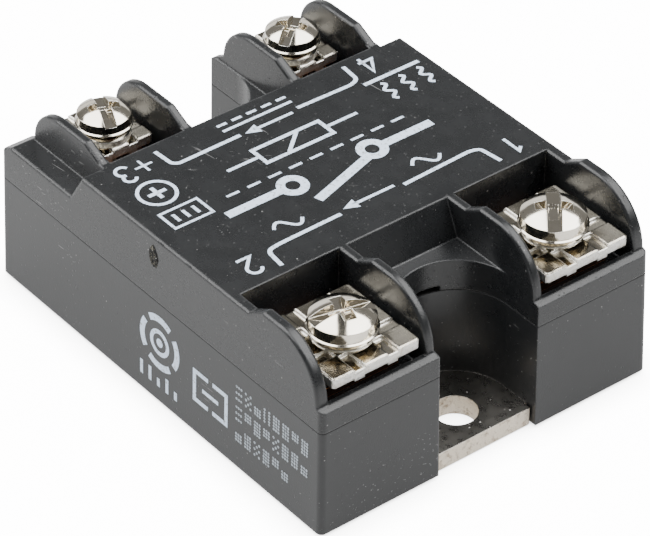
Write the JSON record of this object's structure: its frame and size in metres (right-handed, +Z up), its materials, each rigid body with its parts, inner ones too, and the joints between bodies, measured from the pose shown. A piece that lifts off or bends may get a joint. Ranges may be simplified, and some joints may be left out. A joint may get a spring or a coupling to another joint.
{
  "type": "solid state relay",
  "caption": "Panel-mount solid state relay: black moulded case on a metal base plate, end mounting notches, captive screw terminals with saddle clamps for load and control wires.",
  "frame": {"origin": "centre of the underside of the base plate", "axes": "+Z up from the base plate to the label face; +X towards the output (load) terminals 1 and 2; -X towards the input (control) terminals 3 and 4; +Y towards terminals 1 and 4"},
  "size_m": [0.0584, 0.0456, 0.0234],
  "materials": {
    "plate_metal": "satin, sheared edges",
    "case_plastic": "satin moulded",
    "cover_plastic": "satin moulded",
    "copper": "bare copper",
    "ceramic": "fired alumina",
    "silicon": "polished",
    "tinned_wire": "tinned",
    "gel": "soft gel",
    "board_laminate": "satin",
    "component_white": "matte",
    "component_tan": "satin",
    "component_black": "matte",
    "component_red": "glossy dipped",
    "clamp_nickel": "nickel plated",
    "screw_nickel": "nickel plated"
  },
  "bodies": {
    "housing": {"base_plate": "plate_metal", "lower_case": "case_plastic", "top_cover": "cover_plastic", "output_terminal_1": "copper", "output_terminal_2": "copper", "input_terminal_3": "copper", "input_terminal_4": "copper", "ceramic_substrate": "ceramic", "substrate_copper": "copper", "circuit_pads": "copper", "thyristor_1": "silicon", "thyristor_2": "silicon", "jumper_strap_1": "copper", "jumper_strap_2": "copper", "gate_pins": "tinned_wire", "potting_compound": "gel", "control_board": "board_laminate", "optocoupler": "component_white", "optocoupler_pins": "tinned_wire", "input_resistors": "component_tan", "gate_resistors": "component_tan", "input_diode": "component_black", "snubber_resistor": "component_tan", "snubber_capacitor": "component_red", "input_transistor": "component_black"},
    "clamp_1": {"clamp_plate_1": "clamp_nickel"},
    "screw_1": {"terminal_screw_1": "screw_nickel"},
    "clamp_2": {"clamp_plate_2": "clamp_nickel"},
    "screw_2": {"terminal_screw_2": "screw_nickel"},
    "clamp_3": {"clamp_plate_3": "clamp_nickel"},
    "screw_3": {"terminal_screw_3": "screw_nickel"},
    "clamp_4": {"clamp_plate_4": "clamp_nickel"},
    "screw_4": {"terminal_screw_4": "screw_nickel"}
  },
  "joints": [
    {"name": "clamp_1_lift", "type": "slide", "parent": "housing", "child": "clamp_1", "axis": [0, 0, 1], "range_m": [-0.0009, 0.0022]},
    {"name": "screw_1_turn", "type": "hinge", "parent": "clamp_1", "child": "screw_1", "pos_m": [0.0221, 0.01445, 0.0201], "axis": [0, 0, 1], "range_deg": [-409.2, 998.8]},
    {"name": "clamp_2_lift", "type": "slide", "parent": "housing", "child": "clamp_2", "axis": [0, 0, 1], "range_m": [-0.0009, 0.0022]},
    {"name": "screw_2_turn", "type": "hinge", "parent": "clamp_2", "child": "screw_2", "pos_m": [0.0221, -0.01445, 0.0201], "axis": [0, 0, 1], "range_deg": [-409.2, 998.8]},
    {"name": "clamp_3_lift", "type": "slide", "parent": "housing", "child": "clamp_3", "axis": [0, 0, 1], "range_m": [-0.00125, 0.0022]},
    {"name": "screw_3_turn", "type": "hinge", "parent": "clamp_3", "child": "screw_3", "pos_m": [-0.0219, -0.01315, 0.02092], "axis": [0, 0, 1], "range_deg": [-567.9, 998.8]},
    {"name": "clamp_4_lift", "type": "slide", "parent": "housing", "child": "clamp_4", "axis": [0, 0, 1], "range_m": [-0.00125, 0.0022]},
    {"name": "screw_4_turn", "type": "hinge", "parent": "clamp_4", "child": "screw_4", "pos_m": [-0.0219, 0.01315, 0.02092], "axis": [0, 0, 1], "range_deg": [-567.9, 998.8]}
  ],
  "couplings": [
    {"joint": "screw_1_turn", "follows": "clamp_1_lift", "rad_per_m": 7915.8},
    {"joint": "screw_2_turn", "follows": "clamp_2_lift", "rad_per_m": 7915.8},
    {"joint": "screw_3_turn", "follows": "clamp_3_lift", "rad_per_m": 7915.8},
    {"joint": "screw_4_turn", "follows": "clamp_4_lift", "rad_per_m": 7915.8}
  ]
}
